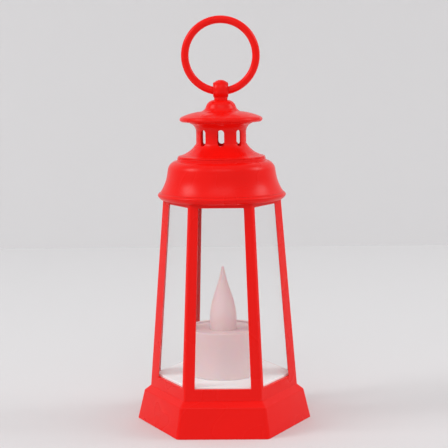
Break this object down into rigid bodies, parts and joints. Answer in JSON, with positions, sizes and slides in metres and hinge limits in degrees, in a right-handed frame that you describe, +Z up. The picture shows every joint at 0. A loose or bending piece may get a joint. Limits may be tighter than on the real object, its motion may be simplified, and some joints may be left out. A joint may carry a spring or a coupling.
{
  "type": "hexagonal candle lantern",
  "caption": "Small hexagonal tabletop lantern in moulded plastic with clear panes, a battery candle inside and a swinging hanging ring.",
  "frame": {"origin": "middle of the underside of the skirt, on the plane the lantern stands on", "axes": "+Z up along the lantern's axis; -Y is the side seen from the front, where the hanging ring shows as a full circle; two corners of the hexagon lie on X"},
  "size_m": [0.06, 0.0524, 0.1382],
  "materials": {
    "red_plastic": "satin moulded, coloured through",
    "clear_sheet": "clear flat sheet",
    "white_plastic": "satin moulded",
    "milky_plastic": "translucent, frosted",
    "lamp_resin": "clear cast resin",
    "tinned_wire": "tinned",
    "green_laminate": "solder mask",
    "plated_steel": "zinc plated",
    "nickel_steel": "nickel plated",
    "black_plastic": "moulded",
    "resistor_lacquer": "lacquered"
  },
  "bodies": {
    "lantern": {"base_skirt": "red_plastic", "base_plate": "red_plastic", "base_screws": "plated_steel", "cage": "red_plastic", "floor_tray": "white_plastic", "candle_shell": "milky_plastic", "candle_flame": "milky_plastic", "led": "lamp_resin", "led_legs": "tinned_wire", "led_holder": "white_plastic", "circuit_board": "green_laminate", "board_screws": "plated_steel", "coin_cell": "nickel_steel", "negative_contact": "nickel_steel", "positive_contact": "nickel_steel", "switch_body": "black_plastic", "resistor": "resistor_lacquer", "roof_dome": "red_plastic", "vent_neck": "red_plastic", "chimney_cap": "red_plastic", "ring_clip": "red_plastic", "window_pane_1": "clear_sheet", "window_pane_2": "clear_sheet", "window_pane_3": "clear_sheet", "window_pane_4": "clear_sheet", "window_pane_5": "clear_sheet", "window_pane_6": "clear_sheet"},
    "ring": {"hanging_ring": "red_plastic"},
    "switch": {"switch_slider": "black_plastic"},
    "door": {"battery_door": "red_plastic"}
  },
  "joints": [
    {"name": "ring_swing", "type": "hinge", "parent": "lantern", "child": "ring", "pos_m": [0, 0, 0.11295], "axis": [1, 0, 0], "range_deg": [-130, 130]},
    {"name": "switch_slide", "type": "slide", "parent": "lantern", "child": "switch", "axis": [0, 1, 0], "range_m": [0, 0.002]},
    {"name": "battery_door_turn", "type": "hinge", "parent": "lantern", "child": "door", "pos_m": [0, 0, 0.0006], "axis": [0, 0, 1], "range_deg": [0, 40]}
  ]
}
